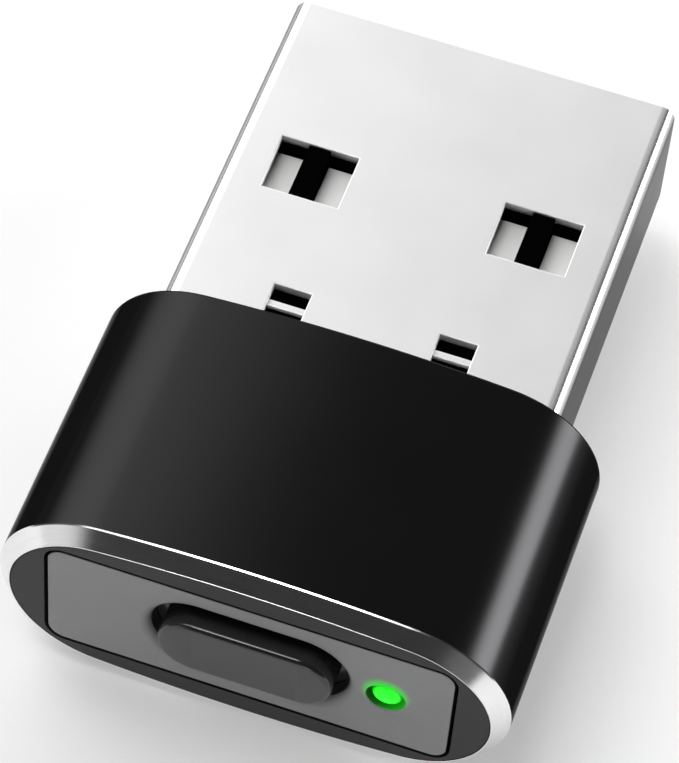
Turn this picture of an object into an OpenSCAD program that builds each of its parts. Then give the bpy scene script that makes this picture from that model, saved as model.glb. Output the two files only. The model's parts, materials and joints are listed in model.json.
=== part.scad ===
// Small USB dongle with a push button and a status light at the rear end of its oval housing.
// X runs across the width, +Y points to the tip of the plug and Z is up through the thickness.
// The origin is under the middle of the whole part, on the surface that it lies on.

/* [Housing] */
// Width of the sleeve beyond the plug, on each side
side_margin = 1.5; // [1.3:0.05:3]
// Thickness of the sleeve above and below the plug, at the middle
face_margin = 1.15; // [1.1:0.05:2]
// Length of the sleeve from its rear end to the shoulder
housing_len = 9; // [9:0.1:14]
// Height of the gentle crown of the sleeve's broad faces
crown = 0.2; // [0.1:0.01:0.25]
// Wall of the sleeve
sleeve_wall = 0.45; // [0.43:0.01:0.5]
// Bright cut edge around the rear end
rear_chamfer = 0.42; // [0.2:0.01:0.42]
// Small broken edge around the front end
front_chamfer = 0.08; // [0.04:0.01:0.2]

/* [Plug] */
// Length of the plug that stands out of the housing
plug_len = 12.2; // [11.9:0.1:15]
// Width of the plug's metal shell
plug_w = 12; // [11.9:0.05:12.1]
// Thickness of the plug's metal shell
plug_t = 4.5; // [4.4:0.05:4.6]
// Outer corner radius of the shell
plug_corner_r = 0.45; // [0.4:0.01:0.6]
// Sheet thickness of the shell
shell_wall = 0.3; // [0.25:0.01:0.32]
// Length of the shell that is held inside the housing
shell_tail = 1.5; // [1.4:0.1:1.7]
// Width of each latching window
window_w = 2.4; // [2:0.1:2.6]
// Length of each latching window
window_len = 2; // [1.6:0.1:2.4]
// Distance from the tip to the near edge of the windows
window_setback = 5.2; // [4.8:0.1:5.6]
// Distance from the plug's side to the outer edge of each window
window_side = 1.33; // [1.1:0.01:1.6]
// Width of each slot at the root of the plug
notch_w = 1.13; // [0.8:0.01:1.3]
// Reach of each root slot in front of the shoulder
notch_reach = 1.75; // [1.5:0.05:2]
// Distance from the plug's side to the outer edge of each root slot
notch_side = 2.925; // [2.7:0.005:3.1]
// Length of the narrow bridge across each root slot
bridge_len = 0.25; // [0.2:0.01:0.35]
// Thickness of the bridge, which is pressed down to the shell's inner face
bridge_t = 0.15; // [0.1:0.01:0.2]
// Distance from the far end of each root slot to its bridge
bridge_gap = 0.46; // [0.4:0.01:0.6]

/* [Contacts] */
// Thickness of the plastic tongue that carries the contacts
tongue_t = 1.7; // [1.6:0.05:1.75]
// Gap between the tongue's back and the inside of the shell
tongue_gap = 0.2; // [0.15:0.01:0.25]
// Distance from the tip of the shell to the tip of the tongue
tongue_setback = 0.35; // [0.2:0.05:1]
// Length of the solid root of the tongue, in front of the shoulder
root_len = 3.2; // [2.8:0.1:3.4]
// Width of each contact strip
contact_w = 1; // [0.8:0.05:1.1]
// Thickness of each contact strip
contact_t = 0.2; // [0.15:0.01:0.25]
// Height that a contact stands out of the tongue
contact_proud = 0.05; // [0.02:0.01:0.1]
// Spacing of the two outer contacts
outer_contact_pitch = 7; // [6.8:0.05:7.2]
// Spacing of the two inner contacts
inner_contact_pitch = 2; // [1.8:0.05:2.2]
// Distance from the tip of the shell to the outer contacts' ends
outer_contact_setback = 1.3; // [1:0.1:2]
// Distance from the tip of the shell to the inner contacts' ends
inner_contact_setback = 2.3; // [2:0.1:3]
// Width of the two fingers of the contact retainer
finger_w = 0.68; // [0.6:0.01:0.9]
// Depth of each finger's top in its window, below the shell's face
finger_recess = 0.05; // [0.04:0.01:0.15]
// Depth of the retainer's grooves in the tongue
finger_depth = 0.4; // [0.3:0.05:0.5]
// Length of the retainer's cross bar
bar_len = 1.2; // [1:0.05:1.3]
// Reach of the cross bar past the far ends of the root slots
bar_over = 0.2; // [0.1:0.01:0.3]
// Length of the retainer's cross heads, one at the far edge of each window
head_len = 0.55; // [0.5:0.01:0.7]
// Length of each cross head that shows in its window
head_shown = 0.25; // [0.1:0.01:0.3]
// Reach of each cross head past the sides of its window
head_side = 0.15; // [0.1:0.01:0.3]

/* [Collar] */
// Length of the moulded collar around the plug
collar_len = 1.3; // [1.2:0.05:1.35]

/* [Rear end] */
// Distance from the housing's side to the panel
panel_side = 1.6; // [1.5:0.05:1.8]
// Distance from the crown of the housing's broad face to the panel
panel_face = 1.25; // [1.15:0.01:1.3]
// Corner radius of the rear panel
panel_r = 0.5; // [0.5:0.01:0.9]
// Thickness of the rear panel
panel_t = 0.6; // [0.5:0.02:0.7]
// Width of the fine groove around the panel
panel_groove = 0.11; // [0.04:0.01:0.12]
// Length of the carrier that holds the panel
carrier_len = 1.6; // [1.5:0.05:1.65]
// Width of the ledge behind the panel at its short sides
ledge_side = 0.7; // [0.5:0.05:0.9]
// Width of the ledge behind the panel at its long sides
ledge_long = 0.34; // [0.3:0.02:0.4]
// Width of each board rail of the carrier
rail_w = 1.5; // [1.2:0.1:1.6]
// Height of each board rail
rail_h = 0.5; // [0.4:0.02:0.55]
// Distance from the board's side edge to each rail
rail_inset = 0.85; // [0.7:0.05:1]

/* [Button] */
// Width of the button's face
button_w = 5.11; // [4.8:0.01:5.3]
// Height of the button's face
button_h = 2.12; // [1.9:0.01:2.2]
// Height that the button stands out of the panel
button_proud = 0.41; // [0.36:0.01:0.6]
// Rounding of the button's front edge
button_edge = 0.16; // [0.08:0.01:0.2]
// Gap around the button in its slot
button_gap = 0.35; // [0.2:0.01:0.37]
// Rounding of the lip around the button's slot
lip_r = 0.3; // [0.2:0.01:0.45]
// Press travel of the button
button_travel = 0.25; // [0.15:0.01:0.3]
// Overlap of the button's flange behind the panel
flange_lap = 0.33; // [0.25:0.01:0.35]
// Thickness of the button's flange
flange_t = 0.4; // [0.3:0.02:0.45]
// Width of the boss that presses the switch
boss_w = 2.4; // [2:0.1:3]
// Height of the boss
boss_h = 1.2; // [1:0.05:1.3]

/* [Status light] */
// Distance from the button's slot to the light's hole
light_gap = 0.54; // [0.45:0.01:0.6]
// Radius of the light's hole in the panel
light_hole_r = 0.57; // [0.52:0.01:0.6]
// Radius of the light pipe's tip
light_tip_r = 0.45; // [0.3:0.01:0.5]
// Height of the light pipe's domed tip
light_dome = 0.22; // [0.18:0.01:0.42]
// Depth of the dome's top below the panel's face
light_recess = 0.01; // [0.01:0.01:0.1]
// Radius of the light pipe's flange
light_flange_r = 0.68; // [0.66:0.01:0.7]
// Thickness of the light pipe's flange
light_flange_t = 0.35; // [0.3:0.01:0.4]

/* [Board] */
// Distance from the housing's side to the circuit board
board_side = 1.7; // [1.65:0.05:1.9]
// Thickness of the circuit board
board_t = 0.8; // [0.7:0.05:0.85]
// Height of the board's top below the middle of the housing
board_drop = 1.1; // [1:0.05:1.15]
// Gap between the shoulder's collar and the board's front edge
board_setback = 0.4; // [0.3:0.05:0.5]
// Distance from the housing's rear end to the board's rear edge
board_rear = 1.8; // [1.7:0.02:1.9]

/* [Switch] */
// Width of the switch's frame
switch_w = 4.2; // [4:0.1:4.4]
// Length of the switch's frame along the press direction
switch_len = 2.8; // [2.6:0.05:3]
// Height of the switch's frame
switch_h = 2.2; // [2.1:0.05:2.6]
// Distance from the housing's rear end to the switch's cover
switch_rear = 2.45; // [2.4:0.01:2.6]
// Thickness of the switch's metal cover
cover_t = 0.15; // [0.1:0.01:0.2]
// Width of the stem
stem_w = 1.5; // [1.3:0.05:1.7]
// Height of the stem
stem_h = 0.9; // [0.8:0.05:1]
// Height that the stem still stands out of the cover when it is pressed
stem_left = 0.4; // [0.3:0.01:0.45]
// Step of the stem's collar around the stem
stem_step = 0.3; // [0.2:0.01:0.35]
// Thickness of the stem's collar
stem_collar_t = 0.35; // [0.3:0.01:0.4]
// Depth of the chamber for the dome and the stem's collar
chamber_len = 1.5; // [1.4:0.05:1.6]
// Radius of the snap dome
dome_r = 0.7; // [0.6:0.01:0.72]
// Height of the snap dome when it is pressed
dome_flat = 0.2; // [0.15:0.01:0.25]
// Sheet thickness of the snap dome
dome_t = 0.08; // [0.05:0.01:0.1]

/* [Fits] */
// Gap between fixed pieces that slide together in assembly
fit = 0.03; // [0.02:0.005:0.04]
// Gap between the moving button or stem and what guides it
run_gap = 0.06; // [0.04:0.005:0.08]

/* [Hidden] */

slice = 0.01;
side_steps = 20;
broad_steps = 15;
corner_steps = 6;
cap_steps = 16;
dome_steps = 8;
lip_steps = 5;
past = 1;

// The oval is two end arcs joined by two flatter arcs, all tangent where they meet
housing_w = plug_w + 2 * side_margin;
housing_t = plug_t + 2 * face_margin;
half_t = housing_t / 2;
side_r = half_t - crown;
end_x = housing_w / 2 - side_r;
broad_c = (end_x * end_x - crown * crown) / (2 * crown);
broad_r = half_t + broad_c;
fan = atan2(end_x, broad_c);

// Places along Y are counted from the shoulder, and heights from the middle of the housing
shoulder_y = (housing_len + button_proud - plug_len) / 2;
rear_y = -housing_len;
panel_w = housing_w - 2 * panel_side;
panel_h = housing_t - 2 * panel_face;
panel_back = rear_y + panel_t;
carrier_front = rear_y + carrier_len;
slot_w = button_w + 2 * button_gap;
slot_h = button_h + 2 * button_gap;
light_x = slot_w / 2 + light_gap + light_hole_r;
cap_rear = rear_y - button_proud;
flange_rear = panel_back + fit;
flange_front = flange_rear + flange_t;
light_tip = rear_y + light_recess;
stem_out = button_travel + stem_left;
dome_h = button_travel + dome_flat;
cover_rear = rear_y + switch_rear;
frame_rear = cover_rear + cover_t;
frame_front = frame_rear + switch_len;
stem_rear = cover_rear - stem_out;
chamber_front = frame_rear + chamber_len;
stem_collar_rear = frame_rear + fit;
stem_front = stem_collar_rear + stem_collar_t;
board_w = housing_w - 2 * board_side;
board_top = -board_drop;
board_bottom = board_top - board_t;
board_y0 = rear_y + board_rear;
board_y1 = -collar_len - board_setback;
shell_in_w = plug_w - 2 * shell_wall;
shell_in_t = plug_t - 2 * shell_wall;
shell_in_top = shell_in_t / 2;
tongue_top = shell_in_top - tongue_gap;
tongue_bottom = tongue_top - tongue_t;
tongue_w = shell_in_w - 2 * fit;
contact_bottom = tongue_bottom - contact_proud;
retainer_bottom = tongue_top - finger_depth;
retainer_top = shell_in_top - fit;
window_x = plug_w / 2 - window_side - window_w / 2;
window_y1 = plug_len - window_setback;
notch_x = plug_w / 2 - notch_side - notch_w / 2;
bridge_y1 = notch_reach - bridge_gap;
bar_y1 = notch_reach + bar_over;
bar_y0 = bar_y1 - bar_len;
head_y0 = window_y1 - head_shown;
head_w = window_w + 2 * head_side;
tail_end = -shell_tail;
leg_inset = 0.25;
leg_t = 0.25;
leg_y0 = board_y1 - leg_inset - leg_t;
tab_len = 1.1;
tab_h = 1.2;
light_foot_w = 1.1;
led_y0 = board_y0 + 0.2;
led_len = 0.9;
led_w = 1.6;
led_h = 0.8;
terminal_out = 0.5;
terminal_w = 0.5;
terminal_h = 0.3;
terminal_inset = 0.6;
nose_r = 0.35;
chip_w = 3;
chip_len = 3.9;
chip_h = 0.75;
chip_y = (board_y0 + board_y1) / 2;
chip_rows = 4;
chip_pitch = 0.95;
lead_out = 0.5;
lead_w = 0.4;
lead_h = 0.15;
side_parts_x = (switch_w / 2 + terminal_out + board_w / 2) / 2;
parts_gap = 0.15;
solder_r = 0.24;
solder_h = 0.25;
parts_front = leg_y0 - 2 * solder_r - parts_gap;
crystal_w = 1.3;
crystal_len = 2;
crystal_h = 0.5;
crystal_y = parts_front - crystal_len / 2;
regulator_w = 1.4;
regulator_len = 1.2;
regulator_h = 0.9;
regulator_y = parts_front - regulator_len / 2;
passive_pitch = 0.85;
passive_len = 0.8;
passive_count = 3;
resistor_w = 0.5;
resistor_h = 0.35;
resistor_y = led_y0 + led_len + parts_gap + passive_len / 2;
capacitor_w = 0.5;
capacitor_h = 0.55;
capacitor_y = crystal_y - crystal_len / 2 - parts_gap - passive_len / 2;

function arc(x, z, r, from, to, steps) =
    [for (i = [0:steps - 1]) let (t = from + (to - from) * i / steps) [x + r * cos(t), z + r * sin(t)]];

function oval_points(grow) = concat(
    arc(end_x, 0, side_r + grow, fan - 90, 90 - fan, side_steps),
    arc(0, -broad_c, broad_r + grow, 90 - fan, 90 + fan, broad_steps),
    arc(-end_x, 0, side_r + grow, 90 + fan, 270 - fan, side_steps),
    arc(0, broad_c, broad_r + grow, 270 - fan, 270 + fan, broad_steps));

function rounded_points(w, h, r, steps) = concat(
    arc(w / 2 - r, h / 2 - r, r, 0, 90, steps), [[w / 2 - r, h / 2]],
    arc(r - w / 2, h / 2 - r, r, 90, 180, steps), [[-w / 2, h / 2 - r]],
    arc(r - w / 2, r - h / 2, r, 180, 270, steps), [[r - w / 2, -h / 2]],
    arc(w / 2 - r, r - h / 2, r, 270, 360, steps), [[w / 2, r - h / 2]]);

function obround_points(w, h) = concat(
    arc((w - h) / 2, 0, h / 2, -90, 90, cap_steps), [[(w - h) / 2, h / 2]],
    arc((h - w) / 2, 0, h / 2, 90, 270, cap_steps), [[(h - w) / 2, -h / 2]]);

// Puts a piece that is drawn around the shoulder's middle in its place above the surface
module placed() {
    translate([0, shoulder_y, half_t]) children();
}

// Extrudes a cross-section, drawn in X and Z, from y0 to y1
module along_y(y0, y1) {
    translate([0, y1, 0]) rotate([90, 0, 0]) linear_extrude(y1 - y0) children();
}

module oval(grow) {
    polygon(oval_points(grow));
}

module rounded(w, h, r) {
    polygon(rounded_points(w, h, r, corner_steps));
}

module obround(w, h) {
    polygon(obround_points(w, h));
}

// Block that is centred on x and runs from y0 to y1 and z0 to z1
module block(x, w, y0, y1, z0, z1) {
    translate([x - w / 2, y0, z0]) cube([w, y1 - y0, z1 - z0]);
}

module housing_sleeve() {
    color("#1c1c1e") placed() difference() {
        hull() {
            along_y(rear_y, rear_y + slice) oval(-rear_chamfer);
            along_y(rear_y + rear_chamfer, -front_chamfer) oval(0);
            along_y(-slice, 0) oval(-front_chamfer);
        }
        along_y(rear_y - past, past) oval(-sleeve_wall);
    }
}

module front_collar() {
    color("#2b2b2d") placed() difference() {
        along_y(-collar_len, 0) oval(-sleeve_wall - fit);
        along_y(-collar_len - past, past) rounded(plug_w + 2 * fit, plug_t + 2 * fit, plug_corner_r + fit);
    }
}

// Ring that holds the panel, with two rails that carry the circuit board
module rear_carrier() {
    color("#3f3f41") placed() {
        difference() {
            along_y(rear_y, carrier_front) oval(-sleeve_wall - fit);
            along_y(rear_y - past, panel_back)
                rounded(panel_w + 2 * panel_groove, panel_h + 2 * panel_groove, panel_r + panel_groove);
            along_y(rear_y, carrier_front + past)
                rounded(panel_w - 2 * ledge_side, panel_h - 2 * ledge_long, panel_r);
        }
        for (side = [-1, 1])
            block(side * (board_w / 2 - rail_inset - rail_w / 2), rail_w, carrier_front, tail_end - fit,
                board_bottom - rail_h, board_bottom);
    }
}

// Thin slice of the cut that rounds the lip, t degrees from the panel's face towards the slot
module lip_slice(t) {
    grow = 2 * lip_r * (1 - sin(t));
    depth = rear_y + lip_r * (1 - cos(t));
    along_y(depth - slice, depth) obround(slot_w + grow, slot_h + grow);
}

module rear_panel() {
    color("#727274") placed() difference() {
        along_y(rear_y, panel_back) rounded(panel_w, panel_h, panel_r);
        along_y(rear_y - past, panel_back + past) obround(slot_w, slot_h);
        for (i = [0:lip_steps - 1]) hull() {
            lip_slice(90 * i / lip_steps);
            lip_slice(90 * (i + 1) / lip_steps);
        }
        translate([light_x, panel_back + past, 0]) rotate([90, 0, 0])
            cylinder(h = panel_t + 2 * past, r = light_hole_r, $fn = 48);
    }
}

// Green pipe from the light on the board to the hole in the panel
module light_pipe() {
    dome = [for (i = [0:dome_steps]) let (t = 90 * i / dome_steps)
        [light_tip_r * sin(t), light_dome * (1 - cos(t))]];
    pipe_len = panel_back + fit - light_tip;
    color("#22e03a") placed() {
        translate([light_x, light_tip, 0]) rotate([-90, 0, 0]) rotate_extrude($fn = 48)
            polygon(concat(dome, [[light_tip_r, pipe_len], [0, pipe_len]]));
        translate([light_x, panel_back + fit + light_flange_t, 0]) rotate([90, 0, 0])
            cylinder(h = light_flange_t, r = light_flange_r, $fn = 48);
        block(light_x, light_foot_w, panel_back + fit + light_flange_t, led_y0 - fit, board_top + fit,
            light_tip_r);
    }
}

module button_cap() {
    color("#4a4a4c") placed() {
        hull() {
            along_y(cap_rear, cap_rear + slice)
                obround(button_w - 2 * button_edge, button_h - 2 * button_edge);
            along_y(cap_rear + button_edge / 3, cap_rear + button_edge)
                obround(button_w - button_edge / 2, button_h - button_edge / 2);
            along_y(cap_rear + button_edge, flange_rear) obround(button_w, button_h);
        }
        along_y(flange_rear, flange_front)
            obround(slot_w + 2 * flange_lap, slot_h + 2 * flange_lap);
        block(0, boss_w, flange_front, stem_rear, -boss_h / 2, boss_h / 2);
    }
}

// Folded sheet shell with latching windows on both faces and two slots at its root
module plug_shell() {
    color("#dfe0e2") placed() {
        difference() {
            along_y(tail_end, plug_len) rounded(plug_w, plug_t, plug_corner_r);
            along_y(tail_end - past, plug_len + past)
                rounded(shell_in_w, shell_in_t, plug_corner_r - shell_wall);
            for (side = [-1, 1]) {
                block(side * window_x, window_w, window_y1 - window_len, window_y1,
                    -plug_t, plug_t);
                block(side * notch_x, notch_w, -collar_len / 2, notch_reach, 0, plug_t);
            }
        }
        for (side = [-1, 1]) {
            block(side * notch_x, notch_w, bridge_y1 - bridge_len, bridge_y1,
                shell_in_top, shell_in_top + bridge_t);
            block(side * (plug_w - shell_wall) / 2, shell_wall, tail_end - tab_len, tail_end,
                board_top, board_top + tab_h);
        }
    }
}

// Cuts the channels of the contacts and the grooves of the retainer
module insulator_grooves() {
    for (side = [-1, 1]) {
        block(side * outer_contact_pitch / 2, contact_w + 2 * fit, tail_end - past,
            plug_len - outer_contact_setback + fit, contact_bottom - fit, contact_bottom + contact_t + fit);
        block(side * inner_contact_pitch / 2, contact_w + 2 * fit, tail_end - past,
            plug_len - inner_contact_setback + fit, contact_bottom - fit, contact_bottom + contact_t + fit);
        block(side * window_x, finger_w + 2 * fit, bar_y0 - fit, plug_len, retainer_bottom - fit,
            plug_t);
        block(side * window_x, head_w + 2 * fit, head_y0 - fit, head_y0 + head_len + fit,
            retainer_bottom - fit, plug_t);
    }
    block(0, 2 * window_x + finger_w + 2 * fit, bar_y0 - fit, bar_y1 + fit,
        retainer_bottom - fit, plug_t);
}

module plug_insulator() {
    color("#e4e4e0") placed() difference() {
        union() {
            block(0, tongue_w, root_len - past, plug_len - tongue_setback, tongue_bottom, tongue_top);
            block(0, tongue_w, tail_end, root_len, fit - shell_in_top, shell_in_top - fit);
        }
        insulator_grooves();
    }
}

// Comb with a finger through each window, raised there, and a cross head at the window's far edge
module contact_retainer() {
    color("#0c0c0c") placed() {
        block(0, 2 * window_x + finger_w, bar_y0, bar_y1, retainer_bottom, retainer_top);
        for (side = [-1, 1]) {
            block(side * window_x, finger_w, bar_y1, plug_len - tongue_setback - fit,
                retainer_bottom, retainer_top);
            block(side * window_x, finger_w, window_y1 - window_len + fit, window_y1 - fit,
                retainer_bottom, plug_t / 2 - finger_recess);
            block(side * window_x, head_w, head_y0, head_y0 + head_len, retainer_bottom, retainer_top);
        }
    }
}

module contact(x, setback) {
    color("#d9b24a") placed() {
        block(x, contact_w, leg_y0, plug_len - setback, contact_bottom, contact_bottom + contact_t);
        block(x, contact_w, leg_y0, leg_y0 + leg_t, board_top, contact_bottom);
    }
}

module circuit_board() {
    color("#1f5a33") placed() block(0, board_w, board_y0, board_y1, board_bottom, board_top);
}

module switch_frame() {
    color("#1a1a1a") placed() difference() {
        block(0, switch_w, frame_rear, frame_front, board_top, board_top + switch_h);
        block(0, stem_w + 2 * stem_step + 2 * run_gap, frame_rear - past, chamber_front,
            -stem_h / 2 - stem_step - run_gap, stem_h / 2 + stem_step + run_gap);
    }
}

module switch_cover() {
    color("#b9bbbd") placed() difference() {
        block(0, switch_w, cover_rear, frame_rear, board_top, board_top + switch_h);
        block(0, stem_w + 2 * run_gap, cover_rear - past, frame_rear + past,
            -stem_h / 2 - run_gap, stem_h / 2 + run_gap);
    }
}

// Four solder legs, two on each side of the frame
module switch_terminals() {
    color("#c9cbcd") placed()
        for (side = [-1, 1], y = [frame_rear + terminal_inset, frame_front - terminal_inset])
            block(side * (switch_w + terminal_out) / 2, terminal_out, y - terminal_w / 2, y + terminal_w / 2,
                board_top, board_top + terminal_h);
}

module switch_stem() {
    color("#d8d2c0") placed() {
        block(0, stem_w, stem_rear, stem_collar_rear, -stem_h / 2, stem_h / 2);
        block(0, stem_w + 2 * stem_step, stem_collar_rear, stem_front,
            -stem_h / 2 - stem_step, stem_h / 2 + stem_step);
        translate([0, chamber_front - dome_h, 0]) rotate([90, 0, 0])
            cylinder(h = chamber_front - dome_h - stem_front, r = nose_r, $fn = 32);
    }
}

// Thin domed disc that clicks and pushes the stem back
module snap_dome() {
    ball_r = (dome_r * dome_r + dome_h * dome_h) / (2 * dome_h);
    rim = asin(dome_r / ball_r);
    outer = [for (i = [0:dome_steps]) let (t = rim * i / dome_steps) [ball_r * sin(t), ball_r * cos(t)]];
    inner = [for (i = [dome_steps:-1:0]) let (t = rim * i / dome_steps, r = ball_r - dome_t)
        [r * sin(t), r * cos(t)]];
    color("#c4c6c8") placed() translate([0, chamber_front + ball_r * cos(rim) - dome_t * cos(rim), 0])
        rotate([90, 0, 0]) rotate_extrude($fn = 48) polygon(concat(outer, inner));
}

module status_led() {
    color("#f2f2e6") placed() block(light_x, led_w, led_y0, led_y0 + led_len, board_top, board_top + led_h);
}

module controller_chip() {
    color("#161618") placed()
        block(0, chip_w, chip_y - chip_len / 2, chip_y + chip_len / 2, board_bottom - chip_h, board_bottom);
}

// Two rows of flat leads that join the chip to the board's underside
module controller_leads() {
    color("#c9cbcd") placed() for (side = [-1, 1], i = [0:chip_rows - 1]) {
        y = chip_y + (i - (chip_rows - 1) / 2) * chip_pitch;
        block(side * (chip_w + lead_out) / 2, lead_out, y - lead_w / 2, y + lead_w / 2,
            board_bottom - lead_h, board_bottom);
    }
}

module crystal() {
    color("#c2c4c6") placed() block(-side_parts_x, crystal_w, crystal_y - crystal_len / 2,
        crystal_y + crystal_len / 2, board_top, board_top + crystal_h);
}

module regulator() {
    color("#18181a") placed() block(side_parts_x, regulator_w, regulator_y - regulator_len / 2,
        regulator_y + regulator_len / 2, board_top, board_top + regulator_h);
}

// Row of small blocks along X on the board's top
module chips(x, y, w, h) {
    for (i = [0:passive_count - 1])
        block(x + (i - (passive_count - 1) / 2) * passive_pitch, w, y - passive_len / 2, y + passive_len / 2,
            board_top, board_top + h);
}

module resistors() {
    color("#1d1d20") placed() chips(side_parts_x, resistor_y, resistor_w, resistor_h);
}

module capacitors() {
    color("#a58258") placed() chips(-side_parts_x, capacitor_y, capacitor_w, capacitor_h);
}

// One cone of solder behind each contact's leg
module solder_joints() {
    color("#c6c8ca") placed()
        for (x = [-outer_contact_pitch / 2, -inner_contact_pitch / 2, inner_contact_pitch / 2,
            outer_contact_pitch / 2])
            translate([x, leg_y0 - solder_r, board_top])
                cylinder(h = solder_h, r1 = solder_r, r2 = solder_r / 2, $fn = 32);
}

housing_sleeve();
front_collar();
rear_carrier();
rear_panel();
light_pipe();
button_cap();
plug_shell();
plug_insulator();
contact_retainer();
contact(-outer_contact_pitch / 2, outer_contact_setback);  // contact_1
contact(-inner_contact_pitch / 2, inner_contact_setback);  // contact_2
contact(inner_contact_pitch / 2, inner_contact_setback);  // contact_3
contact(outer_contact_pitch / 2, outer_contact_setback);  // contact_4
circuit_board();
switch_frame();
switch_cover();
switch_terminals();
switch_stem();
snap_dome();
status_led();
controller_chip();
controller_leads();
crystal();
regulator();
resistors();
capacitors();
solder_joints();
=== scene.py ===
import json
from math import atan2, cos, pi, radians, sin

import bmesh
import bpy
from mathutils import Euler, Matrix, Vector


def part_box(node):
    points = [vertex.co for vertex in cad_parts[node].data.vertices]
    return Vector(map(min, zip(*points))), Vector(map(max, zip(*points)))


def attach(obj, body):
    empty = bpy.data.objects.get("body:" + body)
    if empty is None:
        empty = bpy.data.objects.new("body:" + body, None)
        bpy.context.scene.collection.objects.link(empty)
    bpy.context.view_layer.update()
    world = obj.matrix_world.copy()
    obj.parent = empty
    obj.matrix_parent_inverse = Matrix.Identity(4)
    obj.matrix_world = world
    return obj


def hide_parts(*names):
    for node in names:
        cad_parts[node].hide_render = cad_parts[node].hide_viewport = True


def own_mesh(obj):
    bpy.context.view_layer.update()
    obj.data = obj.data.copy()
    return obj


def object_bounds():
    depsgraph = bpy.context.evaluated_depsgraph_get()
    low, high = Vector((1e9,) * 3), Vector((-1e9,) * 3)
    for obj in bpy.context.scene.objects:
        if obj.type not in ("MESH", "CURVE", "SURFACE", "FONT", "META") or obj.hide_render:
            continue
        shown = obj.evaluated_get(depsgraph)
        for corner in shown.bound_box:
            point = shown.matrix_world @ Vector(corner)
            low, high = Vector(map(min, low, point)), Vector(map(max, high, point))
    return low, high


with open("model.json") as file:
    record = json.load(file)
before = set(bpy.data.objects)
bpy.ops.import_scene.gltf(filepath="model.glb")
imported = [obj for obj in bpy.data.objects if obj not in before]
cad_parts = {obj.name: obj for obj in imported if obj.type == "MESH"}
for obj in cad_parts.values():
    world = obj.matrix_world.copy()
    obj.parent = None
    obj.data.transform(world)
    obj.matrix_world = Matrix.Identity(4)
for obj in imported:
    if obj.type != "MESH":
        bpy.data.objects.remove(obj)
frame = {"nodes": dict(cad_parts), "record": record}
cadLow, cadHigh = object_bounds()
mm = 0.001
quarterTurn = pi / 2
weld = 0.001 * mm           # the ends of an outline are joined when they come this close
pieceWeld = 0.0002 * mm     # and the points of a finished piece when they do
onPlane = 0.0001 * mm       # a point this close to a cutting plane lies on it
skin = 0.01 * mm            # a face within this depth belongs to the outer surface

# places that everything else is worked out from
sleeveLow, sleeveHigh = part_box("housing_sleeve")
shellLow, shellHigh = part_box("plug_shell")
panelLow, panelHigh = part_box("rear_panel")
capLow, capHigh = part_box("button_cap")
pipeLow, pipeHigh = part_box("light_pipe")
shoulderY = sleeveHigh.y
rearY = sleeveLow.y
middleZ = (sleeveLow.z + sleeveHigh.z) / 2
middle = Vector((0, shoulderY, middleZ))
lightMiddle = Vector(((pipeLow.x + pipeHigh.x) / 2, panelLow.y, middleZ))
print("frame loaded: housing %.2f mm long" % ((shoulderY - rearY) / mm))


# an output of a node, which can be added, taken away and multiplied
class Signal:
    def __init__(self, graph, socket):
        self.graph = graph
        self.socket = socket

    def maths(self, operation, first, second):
        return self.graph.node("ShaderNodeMath", {"operation": operation}, {0: first, 1: second})

    def __add__(self, other):
        return self.maths("ADD", self, other)

    __radd__ = __add__

    def __sub__(self, other):
        return self.maths("SUBTRACT", self, other)

    def __rsub__(self, other):
        return self.maths("SUBTRACT", other, self)

    def __mul__(self, other):
        return self.maths("MULTIPLY", self, other)

    __rmul__ = __mul__


class Graph:
    def __init__(self, tree, shader):
        self.tree = tree
        self.shader = shader

    # settings are set first, then the sockets get their values or links
    def node(self, kind, settings, sockets, output=0):
        made = self.tree.nodes.new(kind)
        for key, value in settings.items():
            setattr(made, key, value)
        for key, value in sockets.items():
            if isinstance(value, Signal):
                self.tree.links.new(value.socket, made.inputs[key])
            else:
                made.inputs[key].default_value = value
        return Signal(self, made.outputs[output])

    def feed(self, socket, signal):
        self.tree.links.new(signal.socket, self.shader.inputs[socket])


# where a Mix node has its sockets for colours
mixAmount, mixFirst, mixSecond, mixResult = 0, 6, 7, 2


class Finish(Graph):
    def __init__(self, name, values):
        self.material = bpy.data.materials.new(name)
        self.material.use_nodes = True
        super().__init__(self.material.node_tree, self.material.node_tree.nodes["Principled BSDF"])
        for socket, value in values.items():
            self.shader.inputs[socket].default_value = value
        self.place = self.node("ShaderNodeTexCoord", {}, {}, "Object")

    # speckle of a given size in metres, drawn out into lines along an axis that is scaled down
    def speckle(self, size, detail=2.0, scaled=(1, 1, 1)):
        placed = self.node("ShaderNodeMapping", {}, {"Vector": self.place, "Scale": scaled}, "Vector")
        return self.node("ShaderNodeTexNoise", {}, {"Vector": placed, "Scale": 1 / size, "Detail": detail})

    # bump heights are in metres, as the sizes are
    def bump(self, height, depth, strength):
        normal = self.node("ShaderNodeBump", {},
                           {"Height": height, "Distance": depth, "Strength": strength}, "Normal")
        self.feed("Normal", normal)

    # 1 up to one distance from a place, and 0 beyond another
    def near(self, place, inner, outer):
        away = self.node("ShaderNodeVectorMath", {"operation": "DISTANCE"}, {0: self.place, 1: place},
                         "Value")
        return self.node("ShaderNodeMapRange", {"interpolation_type": "SMOOTHSTEP"},
                         {"Value": away, "From Min": outer, "From Max": inner})

    def blend(self, amount, first, second):
        return self.node("ShaderNodeMix", {"data_type": "RGBA"},
                         {mixAmount: amount, mixFirst: first, mixSecond: second}, mixResult)

    def greys(self, amount, dark, light, tint=0.0):
        return self.blend(amount, grey(dark, tint), grey(light, tint))


def grey(level, tint=0.0):
    return (level, level, level * (1 + tint), 1)


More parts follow.
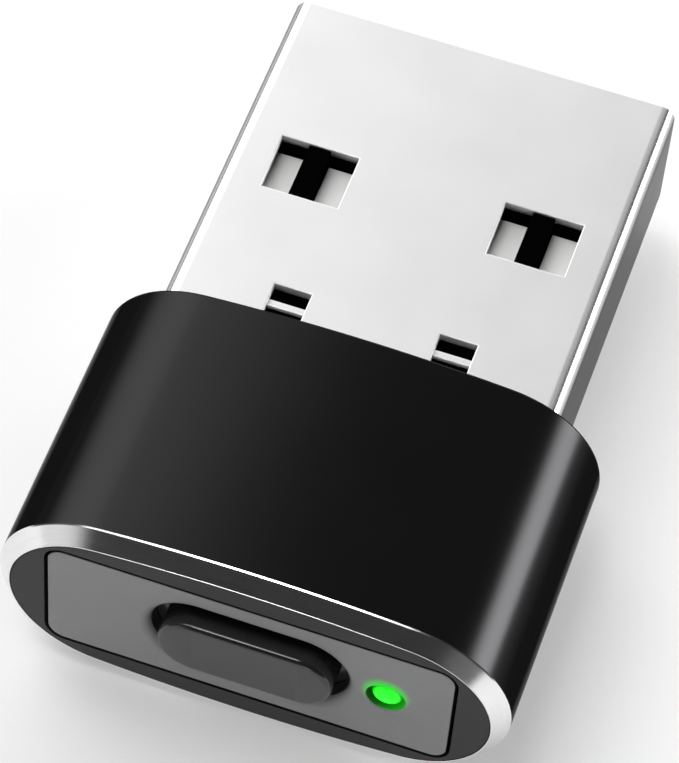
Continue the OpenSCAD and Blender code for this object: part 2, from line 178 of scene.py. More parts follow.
# In the finishes, tones are the darkest grey, the lightest and how bluish both are. Roughness is the least,
# and then what each pattern adds. A pattern is its size, its detail and, for lines, how it is scaled along
# X, Y and Z. Relief is its depth and how strongly that shows.
anodising = {
    "metallic": 0.75,
    "edgeTint": 0.3,                            # how bright it is where it is seen edge on
    "tones": (0.0185, 0.0205, 0.03),
    "roughness": (0.16, 0.05, 0.03),
    "cloud": (3.0 * mm, 3.0),
    "grain": (0.03 * mm, 2.0),
    "relief": (0.0006 * mm, 0.6),
}


def blackAnodised():
    look = Finish("blackAnodised", {"Metallic": anodising["metallic"], "Specular IOR Level": 0.0,
                                    "Specular Tint": grey(anodising["edgeTint"])})
    cloud = look.speckle(*anodising["cloud"])
    grain = look.speckle(*anodising["grain"])
    least, byCloud, byGrain = anodising["roughness"]
    look.feed("Base Color", look.greys(cloud, *anodising["tones"]))
    look.feed("Roughness", least + byCloud * cloud + byGrain * grain)
    look.bump(grain, *anodising["relief"])
    return look.material


toolMarks = {
    "cutAluminium": {
        "tones": (0.80, 0.92, 0.01),
        "roughness": (0.14, 0.07),
        "lines": (0.06 * mm, 2.0, (0.05, 1, 0.05)),     # around the sleeve
        "relief": (0.0008 * mm, 0.5),
    },
    "shearedSteel": {
        "tones": (0.8, 0.88, 0.005),
        "roughness": (0.65, 0.1),
        "lines": (0.05 * mm, 2.0, (1, 1, 0.1)),         # through the sheet
        "relief": (0.001 * mm, 0.5),
    },
}


# bare metal with fine lines from what cut it
def cutMetal(name):
    values = toolMarks[name]
    look = Finish(name, {"Metallic": 1.0})
    lines = look.speckle(*values["lines"])
    least, byLines = values["roughness"]
    look.feed("Base Color", look.greys(lines, *values["tones"]))
    look.feed("Roughness", least + byLines * lines)
    look.bump(lines, *values["relief"])
    return look.material


nickel = {
    "tones": (0.62, 0.66, 0.005),
    "roughness": (0.12, 0.26, 0.04, 0.03),      # the second is added on the broad faces
    "satinTo": 0.34 * mm,                       # from the plug's side
    "burnishedFrom": 0.2 * mm,
    "cloud": (2.5 * mm, 2.0),
    "lines": (0.08 * mm, 3.0, (1, 0.06, 1)),    # along the plug, as it was drawn
    "relief": (0.0003 * mm, 0.4),
}


# satin on the broad faces, and burnished at the bends and on the sides
def nickelPlate(name, edgeTint):
    look = Finish(name, {"Metallic": 1.0, "Specular Tint": grey(edgeTint)})
    cloud = look.speckle(*nickel["cloud"])
    drawn = look.speckle(*nickel["lines"])
    across = look.node("ShaderNodeSeparateXYZ", {}, {"Vector": look.place}, "X")
    fromMiddle = look.node("ShaderNodeMath", {"operation": "ABSOLUTE"}, {0: across})
    broad = look.node("ShaderNodeMapRange", {"interpolation_type": "SMOOTHSTEP"},
                      {"Value": fromMiddle, "From Min": shellHigh.x - nickel["burnishedFrom"],
                       "From Max": shellHigh.x - nickel["satinTo"]})
    least, onBroad, byCloud, byLines = nickel["roughness"]
    look.feed("Base Color", look.greys(cloud, *nickel["tones"]))
    look.feed("Roughness", least + onBroad * broad + byCloud * cloud + byLines * drawn)
    look.bump(drawn, *nickel["relief"])
    return look.material


plastic = {
    "shades": (0.94, 1.06),      # shares of its level between which it varies
    "cloud": (1.5 * mm, 2.0),
    "byGrain": 0.06,             # how far the grain changes the roughness
    "relief": 0.6,
}


def mouldedPlastic(name, level, roughness, grainSize=0.05 * mm, grainDepth=0.002 * mm, tint=0.01,
                   specular=0.4):
    look = Finish(name, {"Specular IOR Level": specular})
    cloud = look.speckle(*plastic["cloud"])
    grain = look.speckle(grainSize)
    dark, light = (level * shade for shade in plastic["shades"])
    look.feed("Base Color", look.greys(cloud, dark, light, tint))
    look.feed("Roughness", roughness + plastic["byGrain"] * grain - plastic["byGrain"] / 2)
    look.bump(grain, grainDepth, plastic["relief"])
    return look.material


panelFinish = {
    "specular": 0.4,
    "tones": (0.245, 0.279, 0.01),
    "roughness": (0.39, 0.06),
    "cloud": (1.5 * mm, 2.0),
    "grain": (0.04 * mm, 2.0),
    "relief": (0.0015 * mm, 0.6),
    "spillUp": 0.25 * mm,                # how far above the light the painted green spill has its middle
    "spill": (0.42 * mm, 0.78 * mm),     # full within the first, and gone beyond the second
    # painted light: the light's green laid into the panel's colour and emission
    "paintedGlowColour": (0.04, 0.34, 0.04, 1),
    "paintedGlowEmission": (0.0, 0.4, 0.0, 1),
}


# satin, with the light's green painted over it above the hole, as painted light in its colour and in its
# emission
def panelPlastic():
    look = Finish("panelPlastic", {"Specular IOR Level": panelFinish["specular"], "Emission Strength": 1.0})
    cloud = look.speckle(*panelFinish["cloud"])
    grain = look.speckle(*panelFinish["grain"])
    spill = look.near(lightMiddle + Vector((0, 0, panelFinish["spillUp"])), *panelFinish["spill"])
    plain = look.greys(cloud, *panelFinish["tones"])
    least, byGrain = panelFinish["roughness"]
    # painted light: green mixed into the colour and the emission near the light
    look.feed("Base Color", look.blend(spill, plain, panelFinish["paintedGlowColour"]))
    look.feed("Emission Color", look.blend(spill, grey(0), panelFinish["paintedGlowEmission"]))
    look.feed("Roughness", least + byGrain * grain)
    look.bump(grain, *panelFinish["relief"])
    return look.material


lens = {
    "specular": 0.3,
    "roughness": 0.15,
    "strength": 1.7,
    "cloud": (0.4 * mm, 1.0),
    "rim": (0.33 * mm, 0.47 * mm),       # the middle ends at the first, and the rim starts at the second
    "colours": ((0.0, 0.4, 0.02, 1), (0.01, 0.5, 0.03, 1)),
    "glows": ((0.0, 0.8, 0.0, 1), (0.015, 1.0, 0.008, 1)),
    "rimGlow": (0.0, 0.12, 0.0, 1),
}


# the lens is brightest in the middle, and darker towards its rim
def litGreen():
    look = Finish("litGreen", {"Specular IOR Level": lens["specular"], "Roughness": lens["roughness"],
                               "Emission Strength": lens["strength"]})
    cloud = look.speckle(*lens["cloud"])
    inMiddle = look.near(lightMiddle, *lens["rim"])
    look.feed("Base Color", look.blend(cloud, *lens["colours"]))
    lit = look.blend(cloud, *lens["glows"])
    look.feed("Emission Color", look.blend(inMiddle, lens["rimGlow"], lit))
    return look.material


holeWall = {
    "specular": 0.5,
    "paintedGreenCentre": (0.5 * mm, 0, -0.3 * mm),    # from the light's middle
    "reach": (0.1 * mm, 1.0 * mm),           # full within the first, and gone beyond the second
    "colours": (grey(0.05, 0.01), (0.03, 0.2, 0.03, 1)),
    "glows": ((0.0, 0.02, 0.0, 1), (0.005, 0.2, 0.005, 1)),
    "roughness": (0.3, 0.06),
    "grain": (0.04 * mm, 2.0),
}


# wall of the light's hole, with the light's green painted on its colour and emission as painted light,
# greenest at its lower right
def paintedGreenWall():
    look = Finish("paintedGreenWall", {"Specular IOR Level": holeWall["specular"], "Emission Strength": 1.0})
    grain = look.speckle(*holeWall["grain"])
    green = look.near(lightMiddle + Vector(holeWall["paintedGreenCentre"]), *holeWall["reach"])
    least, byGrain = holeWall["roughness"]
    # painted light: green colour and glow towards the hole's lower right
    look.feed("Base Color", look.blend(green, *holeWall["colours"]))
    look.feed("Emission Color", look.blend(green, *holeWall["glows"]))
    look.feed("Roughness", least + byGrain * grain)
    return look.material


wornMetal = {
    "wear": (0.3 * mm, 3.0),
    "byWear": 0.12,              # what the wear adds to the roughness
    "grain": (0.05 * mm, 2.0),
    "relief": (0.001 * mm, 0.5),
}


def metal(name, dark, light, roughness):
    look = Finish(name, {"Metallic": 1.0})
    wear = look.speckle(*wornMetal["wear"])
    look.feed("Base Color", look.blend(wear, dark, light))
    look.feed("Roughness", roughness + wornMetal["byWear"] * wear)
    look.bump(look.speckle(*wornMetal["grain"]), *wornMetal["relief"])
    return look.material


boardFinish = {
    "colours": ((0.004, 0.07, 0.02, 1), (0.01, 0.12, 0.035, 1)),
    "roughness": (0.3, 0.1),
    "specular": 0.5,
    "coat": (0.4, 0.1),          # its weight and its roughness
    "weave": 0.9 * mm,           # of the glass cloth under the mask
    "cloud": (0.8 * mm, 2.0),
    "relief": (0.002 * mm, 0.3),
}


def solderMask():
    coat, coatRoughness = boardFinish["coat"]
    look = Finish("solderMask", {"Specular IOR Level": boardFinish["specular"], "Coat Weight": coat,
                                 "Coat Roughness": coatRoughness})
    weave = look.node("ShaderNodeTexBrick", {}, {"Vector": look.place, "Scale": 1 / boardFinish["weave"]},
                      "Color")
    cloud = look.speckle(*boardFinish["cloud"])
    least, byCloud = boardFinish["roughness"]
    look.feed("Base Color", look.blend(cloud, *boardFinish["colours"]))
    look.feed("Roughness", least + byCloud * cloud)
    look.bump(weave, *boardFinish["relief"])
    return look.material


# the numbers after a name are the level or the two colours, the roughness, and the grain's size and depth
finishes = {
    "sleeve": blackAnodised(),
    "black_plastic": mouldedPlastic("blackPlastic", 0.018, 0.42),
    "carrier": mouldedPlastic("carrierPlastic", 0.029, 0.45, specular=0.25),
    "panel": panelPlastic(),
    "button": mouldedPlastic("buttonPlastic", 0.021, 0.18, 0.05 * mm, 0.0005 * mm, specular=0.7),
    "light_pipe": litGreen(),
    "plug_metal": nickelPlate("nickelPlate", 0.22),
    "insulator": mouldedPlastic("nylon", 0.70, 0.5, 0.06 * mm, 0.002 * mm, tint=-0.01),
    # the retainer is black plastic, given no reflection at all so that it shows as black as the shade in the
    # windows: partly its own colour, partly painted shade
    "retainer": mouldedPlastic("retainerPlasticShadowBlack", 0.001, 0.5, specular=0.0),
    "gold": metal("goldPlate", (0.75, 0.48, 0.16, 1), (0.9, 0.62, 0.25, 1), 0.2),
    "board": solderMask(),
    "tinned": metal("tinPlate", grey(0.55, 0.02), grey(0.7, 0.02), 0.28),
    "stem": mouldedPlastic("stemPlastic", 0.55, 0.45, tint=-0.15),
    "led": mouldedPlastic("ledPackage", 0.75, 0.3, tint=-0.06),
    "chip": mouldedPlastic("epoxy", 0.02, 0.5),
    "ceramic": metal("sinteredCeramic", (0.3, 0.18, 0.09, 1), (0.42, 0.27, 0.15, 1), 0.5),
}
# finishes that only some faces of a piece have
faceFinishes = {
    "cutEdge": cutMetal("cutAluminium"),
    "shearedEdge": cutMetal("shearedSteel"),
    "shadedPlugSide": nickelPlate("nickelSidesShaded", 0.13),    # a duller copy of the nickel on the plug's sides, as painted shade
    "holeWall": paintedGreenWall(),
}
print("finishes made:", len(finishes) + len(faceFinishes))

for part in frame["record"]["subparts"]:
    node = frame["nodes"][part["node"]]
    for slot in node.material_slots:
        slot.material = finishes[part["material_slot"]]


# turns run from +X towards +Z, as seen from the rear end
rearward = Vector((0, -1, 0))


# follows lines and turns in the X, Z plane with one vertex, and closes the loop
def traceLoop(bm, start, moves):
    tip = bm.verts.new(start)
    made = [tip]
    for kind, *how in moves:
        if kind == "line":
            out = bmesh.ops.extrude_vert_indiv(bm, verts=[tip])["verts"]
            bmesh.ops.translate(bm, verts=out, vec=(how[0], 0, how[1]))
            tip = out[0]
            made.append(tip)
        else:
            x, z, angle, steps = how
            before = set(bm.verts)
            last = bmesh.ops.spin(bm, geom=[tip], cent=(x, tip.co.y, z), axis=rearward, angle=angle,
                                  steps=steps)["geom_last"]
            tip = [v for v in last if isinstance(v, bmesh.types.BMVert)][0]
            made += [v for v in bm.verts if v not in before]
    bmesh.ops.remove_doubles(bm, verts=[made[0], tip], dist=weld)
    return inOrder(bm, {e for v in made if v.is_valid for e in v.link_edges})


# a set of edges comes in any order, so it is sorted to give the same mesh each time
def inOrder(bm, edges):
    bm.edges.index_update()
    return sorted(edges, key=lambda e: e.index)


def roundedLoop(bm, y, width, height, corner, steps):
    w, h = width / 2 - corner, height / 2 - corner
    return traceLoop(bm, (w + corner, y, middleZ - h), [
        ("line", 0, 2 * h), ("turn", w, middleZ + h, quarterTurn, steps),
        ("line", -2 * w, 0), ("turn", -w, middleZ + h, quarterTurn, steps),
        ("line", 0, -2 * h), ("turn", -w, middleZ - h, quarterTurn, steps),
        ("line", 2 * w, 0), ("turn", w, middleZ - h, quarterTurn, steps)])


shortestReach = 0.0005 * mm     # even a circle's halves lie this far from its middle


def obroundLoop(bm, y, width, height, steps, x=0.0):
    reach, r = max((width - height) / 2, shortestReach), height / 2
    return traceLoop(bm, (x + reach, y, middleZ - r), [
        ("turn", x + reach, middleZ, pi, steps), ("line", -2 * reach, 0),
        ("turn", x - reach, middleZ, pi, steps), ("line", 2 * reach, 0)])


# places along Y and how far the outline grows there, for a rounded rim and then a straight wall
def rimThenWall(y0, y1, radius, grow, steps):
    turns = [quarterTurn * i / steps for i in range(steps + 1)]
    return [(y0 + radius * (1 - cos(t)), grow * radius * (1 - sin(t))) for t in turns] + [(y1, 0)]


# joins one outline after another along Y, and gives back the first and the last
def wallThrough(bm, drawLoop, stations):
    loops = [drawLoop(y, grow) for y, grow in stations]
    for near, far in zip(loops, loops[1:]):
        bmesh.ops.bridge_loops(bm, edges=near + far)
    return loops[0], loops[-1]


def fillLoops(bm, edges):
    bmesh.ops.triangle_fill(bm, use_beauty=True, edges=edges, normal=rearward)


def addSolid(bm, drawLoop, stations):
    for loop in wallThrough(bm, drawLoop, stations):
        fillLoops(bm, loop)


# block between the low and high ends along each axis, with its edges along X rounded where asked
def addBlock(bm, x, y, z, rounding=0.0, steps=3):
    spans = (x, y, z)
    centre = [(high + low) / 2 for low, high in spans]
    size = [high - low for low, high in spans]
    made = bmesh.ops.create_cube(bm, size=1, matrix=Matrix.Translation(centre) @ Matrix.Diagonal((*size, 1)))
    if rounding:
        edges = inOrder(bm, {e for v in made["verts"] for e in v.link_edges
                             if abs(e.verts[0].co.x - e.verts[1].co.x) > 0})
        bmesh.ops.bevel(bm, geom=edges, offset=rounding, segments=steps, profile=0.5, affect="EDGES",
                        material=-1, clamp_overlap=True)


# edges up to the angle smooth, in degrees, are shaded smooth
def finishPiece(bm, name, body, replaced, materials, smooth=40):
    bmesh.ops.remove_doubles(bm, verts=bm.verts, dist=pieceWeld)
    bmesh.ops.recalc_face_normals(bm, faces=bm.faces)
    for face in bm.faces:
        face.smooth = True
    for edge in bm.edges:
        edge.smooth = edge.calc_face_angle(0) < radians(smooth)
    mesh = bpy.data.meshes.new(name)
    bm.to_mesh(mesh)
    bm.free()
    for material in materials:
        mesh.materials.append(material)
    piece = bpy.data.objects.new(name, mesh)
    bpy.context.scene.collection.objects.link(piece)
    even = piece.modifiers.new("evenNormals", "WEIGHTED_NORMAL")
    even.keep_sharp = True
    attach(piece, body)
    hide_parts(replaced)
    print("made", name, len(mesh.polygons), "faces")
    return piece


sleeve = {
    "crown": 0.2 * mm,          # how far the broad faces bulge past the side arcs
    "wall": 0.45 * mm,
    "cut": 0.42 * mm,           # bright cut edge, the same across and along
    "outerRim": 0.045 * mm,     # tiny facets on both sides of the cut
    "innerRim": 0.0035 * mm,
    "rimSlope": 0.4,            # how steep the facets are
    "frontEdge": 0.08 * mm,     # rounding at the front end, and the share of it at the middle facet
    "frontShare": 0.3,
    "sideSteps": 40,
    "broadSteps": 32,
    "smooth": 12,
}


def makeSleeve():
    halfW = (sleeveHigh.x - sleeveLow.x) / 2
    halfT = (sleeveHigh.z - sleeveLow.z) / 2
    sideR = halfT - sleeve["crown"]
    endX = halfW - sideR
    broadC = (endX ** 2 - sleeve["crown"] ** 2) / (2 * sleeve["crown"])    # middle of a broad face's arc
    fan = atan2(endX, broadC)
    cut, outer, inner, edge, wall = (sleeve[k] for k in ("cut", "outerRim", "innerRim", "frontEdge", "wall"))
    slope, share = sleeve["rimSlope"], sleeve["frontShare"]
    # section through the wall: how far outwards, and the place along Y
    section = [
        (-wall, shoulderY), (-edge, shoulderY), (-edge * share, shoulderY - edge * share),
        (0, shoulderY - edge), (0, rearY + cut + outer), (-outer * slope, rearY + cut),
        (-cut + inner * slope, rearY + inner), (-cut, rearY), (-wall, rearY)]
    bm = bmesh.new()
    start = fan - quarterTurn
    verts = [bm.verts.new((endX + (sideR + out) * cos(start), y, middleZ + (sideR + out) * sin(start)))
             for out, y in section]
    chain = verts + [bm.edges.new(pair) for pair in zip(verts, verts[1:] + verts[:1])]
    turns = [(endX, 0, pi - 2 * fan, sleeve["sideSteps"]), (0, -broadC, 2 * fan, sleeve["broadSteps"]),
             (-endX, 0, pi - 2 * fan, sleeve["sideSteps"]), (0, broadC, 2 * fan, sleeve["broadSteps"])]
    for x, z, angle, steps in turns:
        chain = bmesh.ops.spin(bm, geom=chain, cent=(x, 0, middleZ + z), axis=rearward, angle=angle,
                               steps=steps)["geom_last"]
    bmesh.ops.remove_doubles(bm, verts=bm.verts, dist=weld)
    brightEnd = rearY + cut + outer + weld
    for face in bm.faces:
        face.material_index = 1 if max(v.co.y for v in face.verts) < brightEnd else 0
    return finishPiece(bm, "sleeve", "housing", "housing_sleeve",
                       [finishes["sleeve"], faceFinishes["cutEdge"]], sleeve["smooth"])


makeSleeve()


plug = {
    "corner": 0.45 * mm,
    "cornerSteps": 8,
    "wall": 0.3 * mm,
    "windowW": 2.4 * mm,
    "windowLen": 2.0 * mm,
    "windowSetback": 5.2 * mm,     # from the tip
    "windowSide": 1.33 * mm,       # from the side of the plug
    "notchW": 1.13 * mm,           # slots at the root
    "notchSide": 2.925 * mm,       # from the side of the plug
    "notchReach": 1.75 * mm,       # beyond the housing
    "notchHidden": 0.65 * mm,      # how far the slots run on inside the housing
    "bridgeGap": 0.46 * mm,        # from the far end of the slot
    "bridgeLen": 0.25 * mm,
    "bridgeT": 0.15 * mm,
    "bridgeRound": 0.04 * mm,
    "edge": 0.03 * mm,             # rounding of the sheet's edges
    "edgeSteps": 2,
    "seam": 0.05 * mm,             # gap where the sheet's ends meet, under the plug
    "tail": 1.5 * mm,              # length inside the housing, without the tabs
    "tab": 1.1 * mm,               # solder tabs
    "tabHigh": 1.2 * mm,
    "boardDrop": 1.1 * mm,         # from the middle of the housing down to the lower end of the tabs
    "flat": 0.5,                   # faces that meet at less than this are joined, in degrees
    "sharp": 60,                   # edges that turn by more than this are rounded
    "cutFacing": 0.8,              # least part of a sheared face's normal that points along X or Y
    "smooth": 35,
}


# cuts the tube along a plane, so that a hole can be opened between cuts
def cutAcross(bm, axis, place):
    normal = Vector((0, 0, 0))
    normal[axis] = 1
    at = Vector((0, 0, 0))
    at[axis] = place
    bmesh.ops.bisect_plane(bm, geom=bm.verts[:] + bm.edges[:] + bm.faces[:], dist=onPlane,
                           plane_co=at, plane_no=normal)


def makeShell():
    width = shellHigh.x - shellLow.x
    height = shellHigh.z - shellLow.z
    tipY = shellHigh.y
    tailY = shoulderY - plug["tail"]
    bm = bmesh.new()
    wallThrough(bm, lambda y, g: roundedLoop(bm, y, width, height, plug["corner"], plug["cornerSteps"]),
                [(tailY, 0), (tipY, 0)])
    windowX = width / 2 - plug["windowSide"] - plug["windowW"] / 2
    notchX = width / 2 - plug["notchSide"] - plug["notchW"] / 2
    windowY = tipY - plug["windowSetback"] - plug["windowLen"] / 2
    slotStart = shoulderY - plug["notchHidden"]
    slotEnd = shoulderY + plug["notchReach"]
    holes = []      # middle x, middle y, width, length, on which faces
    for side in (-1, 1):
        holes.append((side * windowX, windowY, plug["windowW"], plug["windowLen"], "both"))
        holes.append((side * notchX, (slotStart + slotEnd) / 2, plug["notchW"], slotEnd - slotStart, "top"))
    holes.append((0, (tipY + tailY) / 2, plug["seam"], tipY - tailY, "bottom"))
    for x, y, w, l, faces in holes:
        for edge in (x - w / 2, x + w / 2):
            cutAcross(bm, 0, edge)
        for edge in (y - l / 2, y + l / 2):
            cutAcross(bm, 1, edge)
    gone = []
    for face in bm.faces:
        c = face.calc_center_median()
        up = c.z > middleZ
        if abs(c.z - middleZ) < height / 2 - skin:
            continue
        for x, y, w, l, faces in holes:
            onItsSide = faces == "both" or (faces == "top") == up
            if onItsSide and abs(c.x - x) < w / 2 and abs(c.y - y) < l / 2:
                gone.append(face)
                break
    bmesh.ops.delete(bm, geom=gone, context="FACES")
    # the cuts that open no hole are joined again and all faces turned outwards before the wall is made
    bmesh.ops.dissolve_limit(bm, angle_limit=radians(plug["flat"]), verts=bm.verts, edges=bm.edges)
    bmesh.ops.recalc_face_normals(bm, faces=bm.faces)
    outward = sum(f.normal.z * (f.calc_center_median().z - middleZ) for f in bm.faces)
    if outward < 0:
        bmesh.ops.reverse_faces(bm, faces=bm.faces)
    bmesh.ops.solidify(bm, geom=bm.faces[:], thickness=plug["wall"])
    sharp = [e for e in bm.edges if len(e.link_faces) == 2 and e.calc_face_angle(0) > radians(plug["sharp"])]
    bmesh.ops.bevel(bm, geom=sharp, offset=plug["edge"], segments=plug["edgeSteps"], profile=0.5,
                    affect="EDGES", material=-1, clamp_overlap=True)
    inside = height / 2 - plug["wall"]
    bridgeEnd = slotEnd - plug["bridgeGap"]
    tabLow = middleZ - plug["boardDrop"]
    for side in (-1, 1):
        # pressed bridge across the root slot, let into its walls, and a solder tab at the tail
        x, reach = side * notchX, plug["notchW"] / 2 + plug["edge"]
        addBlock(bm, (x - reach, x + reach), (bridgeEnd - plug["bridgeLen"], bridgeEnd),
                 (middleZ + inside, middleZ + inside + plug["bridgeT"]), plug["bridgeRound"])
        x, reach = side * (width - plug["wall"]) / 2, plug["wall"] / 2
        addBlock(bm, (x - reach, x + reach), (tailY - plug["tab"], tailY + plug["edge"]),
                 (tabLow, tabLow + plug["tabHigh"]))
    bm.normal_update()
    for face in bm.faces:
        fromMiddle = abs(face.calc_center_median().x)
        along = abs(face.normal.y) > plug["cutFacing"]
        across = abs(face.normal.x) > plug["cutFacing"]
        if along or (across and fromMiddle < width / 2 - plug["corner"] - plug["wall"]):
            face.material_index = 1
        else:
            # the flat sides get the duller copy of the nickel: painted shade
            face.material_index = 2 if fromMiddle > width / 2 - skin else 0
    return finishPiece(bm, "plugShell", "housing", "plug_shell",
                       [finishes["plug_metal"], faceFinishes["shearedEdge"], faceFinishes["shadedPlugSide"]],
                       plug["smooth"])


makeShell()


panel = {
    "corner": 0.5 * mm,
    "cornerSteps": 10,
    "edgeRound": 0.03 * mm,
    "slotGap": 0.35 * mm,          # around the button
    "slotSteps": 32,
    "lipRound": 0.3 * mm,          # rounding of the slot's rim
    "lipSteps": 12,
    "lightHole": 0.57 * mm,        # radius
    "lightGap": 0.54 * mm,         # from the button's slot
    "holeRound": 0.06 * mm,
    "holeSteps": 24,
    "rimSteps": 4,
    "frontFacing": 0.3,            # least part of a panel face's normal that points along Y; faces turned further away get the carrier's dark plastic as painted shade
}
button = {
    "width": 5.11 * mm,
    "height": 2.12 * mm,
    "steps": 32,
    "edge": 0.16 * mm,             # rounding of its rim
    "edgeSteps": 8,
    "flangeLap": 0.33 * mm,        # how far the flange reaches behind the panel
    "flangeGap": 0.03 * mm,
    "flangeT": 0.4 * mm,
    "flangeSteps": 24,
    "bossW": 2.4 * mm,
    "bossH": 1.2 * mm,
}
slotW = button["width"] + 2 * panel["slotGap"]
slotH = button["height"] + 2 * panel["slotGap"]
lightX = slotW / 2 + panel["lightGap"] + panel["lightHole"]
flangeY = panelHigh.y + button["flangeGap"]


def makePanel():
    bm = bmesh.new()
    width, height = panelHigh.x - panelLow.x, panelHigh.z - panelLow.z
    hole, corner = 2 * panel["lightHole"], panel["corner"]
    # how each outline is drawn, its rim, whether it shrinks or widens there, and the rim's steps
    outlines = [
        (lambda y, g: roundedLoop(bm, y, width + 2 * g, height + 2 * g, corner + g, panel["cornerSteps"]),
         panel["edgeRound"], -1, panel["rimSteps"]),
        (lambda y, g: obroundLoop(bm, y, slotW + 2 * g, slotH + 2 * g, panel["slotSteps"]),
         panel["lipRound"], 1, panel["lipSteps"]),
        (lambda y, g: obroundLoop(bm, y, hole + 2 * g, hole + 2 * g, panel["holeSteps"], lightX),
         panel["holeRound"], 1, panel["rimSteps"])]
    ends = [wallThrough(bm, draw, rimThenWall(panelLow.y, panelHigh.y, rim, grow, steps))
            for draw, rim, grow, steps in outlines]
    for which in (0, 1):
        fillLoops(bm, [edge for pair in ends for edge in pair[which]])
    bm.normal_update()
    for face in bm.faces:
        c = face.calc_center_median()
        inHole = Vector((c.x - lightMiddle.x, c.z - middleZ)).length < panel["lightHole"] + skin
        isFront = abs(face.normal.y) > panel["frontFacing"]
        # faces turned away from the rear, at the panel's edges and deep in the slot's lip, get the carrier's
        # dark plastic as painted shade
        face.material_index = 0 if isFront else (2 if inHole else 1)
    return finishPiece(bm, "panel", "housing", "rear_panel",
                       [finishes["panel"], finishes["carrier"], faceFinishes["holeWall"]])


def makeButton():
    bm = bmesh.new()
    lap = 2 * button["flangeLap"]
    bossY = flangeY + button["flangeT"]
    addSolid(bm, lambda y, g: obroundLoop(bm, y, button["width"] + 2 * g, button["height"] + 2 * g,
                                          button["steps"]),
             rimThenWall(capLow.y, flangeY, button["edge"], -1, button["edgeSteps"]))
    addSolid(bm, lambda y, g: obroundLoop(bm, y, slotW + lap, slotH + lap, button["flangeSteps"]),
             [(flangeY, 0), (bossY, 0)])
    halfW, halfH = button["bossW"] / 2, button["bossH"] / 2
    addBlock(bm, (-halfW, halfW), (bossY, capHigh.y), (middleZ - halfH, middleZ + halfH))
    return finishPiece(bm, "button", "button", "button_cap", [finishes["button"]])


makePanel()
makeButton()


pipe = {
    "tip": 0.45 * mm,            # radius
    "recess": 0.01 * mm,         # how far the lens lies below the panel
    "bulge": 0.22 * mm,          # height of the lens
    "bulgeSteps": 10,
    "steps": 24,
    "flange": 0.68 * mm,         # radius
    "flangeT": 0.35 * mm,
    "foot": 1.1 * mm,
}


def makeLightPipe():
    bm = bmesh.new()
    tipY = panelLow.y + pipe["recess"]
    footY = flangeY + pipe["flangeT"]
    turns = [quarterTurn * i / pipe["bulgeSteps"] for i in range(1, pipe["bulgeSteps"] + 1)]
    bulge = [(tipY + pipe["bulge"] * (1 - cos(t)), pipe["tip"] * sin(t)) for t in turns]

    def circle(y, radius):
        return obroundLoop(bm, y, 2 * radius, 2 * radius, pipe["steps"], lightX)

    addSolid(bm, circle, bulge + [(flangeY, pipe["tip"])])
    addSolid(bm, circle, [(flangeY, pipe["flange"]), (footY, pipe["flange"])])
    half = pipe["foot"] / 2
    addBlock(bm, (lightX - half, lightX + half), (footY, pipeHigh.y), (pipeLow.z, middleZ + pipe["tip"]))
    return finishPiece(bm, "lightPipe", "housing", "light_pipe", [finishes["light_pipe"]])


makeLightPipe()


snapDisc = {
    "rise": 0.45 * mm,
    "wall": 0.08 * mm,
    "around": 48,
    "rings": 40,            # on the whole ball that the disc is cut from
    "pressed": 0.41,        # share of its height that is left when the button is home
}


# thin disc behind the switch's stem; the real one bends flat as the button travels, and this one is built
# unbent
def makeSnapDome():
    low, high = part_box("snap_dome")
    rimR = (high.x - low.x) / 2
    ballR = (rimR ** 2 + snapDisc["rise"] ** 2) / (2 * snapDisc["rise"])
    lying = Matrix.Translation((0, low.y + ballR, middleZ)) @ Matrix.Rotation(quarterTurn, 4, "X")
    bm = bmesh.new()
    bmesh.ops.create_uvsphere(bm, u_segments=snapDisc["around"], v_segments=snapDisc["rings"], radius=ballR,
                              matrix=lying)
    bmesh.ops.bisect_plane(bm, geom=bm.verts[:] + bm.edges[:] + bm.faces[:], dist=onPlane,
                           plane_co=(0, low.y + snapDisc["rise"], 0), plane_no=(0, 1, 0), clear_outer=True)
    bmesh.ops.solidify(bm, geom=bm.faces[:], thickness=snapDisc["wall"])
    disc = finishPiece(bm, "snapDome", "housing", "snap_dome", [finishes["tinned"]])
    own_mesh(disc)


makeSnapDome()


studio = {
    "floorSize": 2.0,
    "floorLevel": 0.68,
    "floorGlow": 0.28,            # the floor is a light table
    "floorShades": (0.995, 1.005),
    "floorCloud": 40 * mm,
    "floorRoughness": 0.8,
    "floorSpecular": 0.1,
    "dimmest": 0.03,
    "backdrop": 1.0,              # what shows past the floor's edge
}
# for each soft light: where it shines from, its level, and the angles where it starts to fade and ends
softLights = {
    "overhead": ((-0.42, 0.1, 0.9), 3.9, 6, 20),
    "topFront": ((-0.14, -0.17, 0.97), 9.0, 2, 11),
    "backLeft": ((-0.64, 0.5, 0.58), 3.8, 3, 34),
    "back": ((0, 0.97, 0.25), 4.0, 8, 30),
    "backRight": ((0.82, 0.565, 0.09), 21.0, 3, 21),
    "frontLeft": ((-0.75, -0.65, 0.1), 0.75, 8, 34),
    "front": ((0.2, -0.97, 0.08), 2.5, 3, 12),
    "frontRight": ((0.75, -0.65, 0.1), 0.1, 10, 33),
}


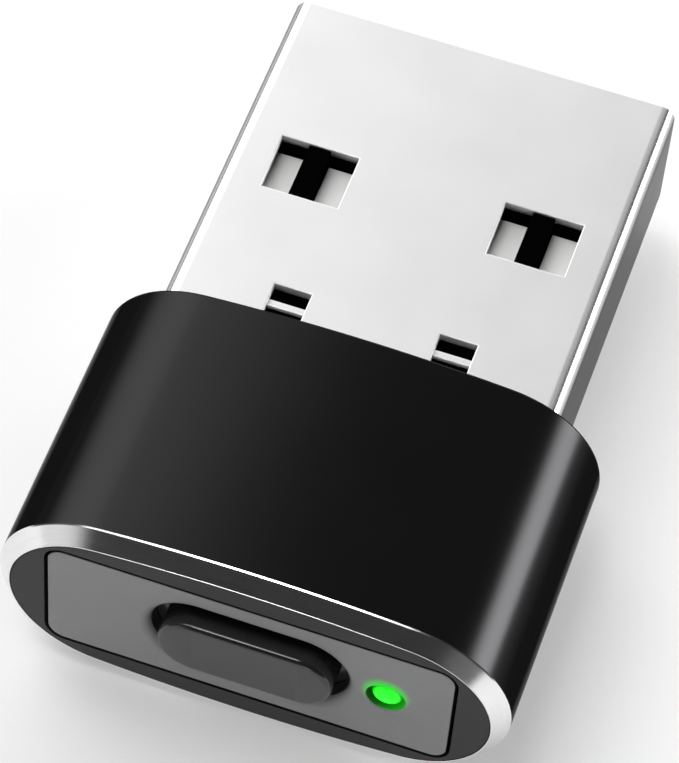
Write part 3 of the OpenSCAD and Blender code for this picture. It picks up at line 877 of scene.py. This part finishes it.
def makeFloor():
    bm = bmesh.new()
    bmesh.ops.create_grid(bm, x_segments=1, y_segments=1, size=studio["floorSize"] / 2,
                          matrix=Matrix.Translation((0, 0, cadLow.z)))
    mesh = bpy.data.meshes.new("floor")
    bm.to_mesh(mesh)
    bm.free()
    look = Finish("paleFloor", {
        "Specular IOR Level": studio["floorSpecular"], "Roughness": studio["floorRoughness"],
        "Emission Color": grey(1), "Emission Strength": studio["floorGlow"]})
    cloud = look.speckle(studio["floorCloud"])
    dark, light = (studio["floorLevel"] * shade for shade in studio["floorShades"])
    look.feed("Base Color", look.greys(cloud, dark, light))
    mesh.materials.append(look.material)
    floor = bpy.data.objects.new("floor", mesh)
    bpy.context.scene.collection.objects.link(floor)


# soft lights far away on every side, with a dim room between them and a plain pale backdrop to look at
def makeSky():
    world = bpy.data.worlds.new("studio")
    bpy.context.scene.world = world
    world.use_nodes = True
    sky = Graph(world.node_tree, world.node_tree.nodes["Background"])
    direction = sky.node("ShaderNodeTexCoord", {}, {}, "Generated")
    level = studio["dimmest"]
    for towards, brightest, fades, ends in softLights.values():
        closeness = sky.node("ShaderNodeVectorMath", {"operation": "DOT_PRODUCT"},
                             {0: direction, 1: Vector(towards).normalized()}, "Value")
        glow = sky.node("ShaderNodeMapRange", {"interpolation_type": "SMOOTHSTEP"},
                        {"Value": closeness, "From Min": cos(radians(ends)), "From Max": cos(radians(fades)),
                         "To Min": 0.0, "To Max": brightest})
        level = glow + level
    seen = sky.node("ShaderNodeLightPath", {}, {}, "Is Camera Ray")
    sky.shader.inputs["Color"].default_value = grey(1)
    sky.feed("Strength", level + seen * (studio["backdrop"] - level))


viewpoint = {
    "tilt": (-34.816, -8.412, -17.167),    # degrees about X, Y and Z, from the object to the picture
    "across": 0.36 * mm,                   # where the shoulder's middle lies in the picture
    "up": -0.709 * mm,
    "away": 116.161 * mm,
    "lens": 189.84,                        # for this sensor along the picture's long side
    "sensor": 36,
    "clip": (0.005, 20),                   # nearest and farthest that shows, in metres
}


def makeCamera():
    data = bpy.data.cameras.new("camera")
    data.lens = viewpoint["lens"]
    data.sensor_width = viewpoint["sensor"]
    data.clip_start, data.clip_end = viewpoint["clip"]
    camera = bpy.data.objects.new("camera", data)
    bpy.context.scene.collection.objects.link(camera)
    toPicture = Euler([radians(t) for t in viewpoint["tilt"]], "XYZ").to_matrix().to_4x4()
    camera.matrix_world = (Matrix.Translation(middle) @ toPicture.transposed() @ Matrix.Translation(
        (-viewpoint["across"], -viewpoint["up"], viewpoint["away"])))
    bpy.context.scene.camera = camera


makeFloor()
makeSky()
makeCamera()
bpy.context.scene.view_settings.view_transform = "Standard"
print("stage set")
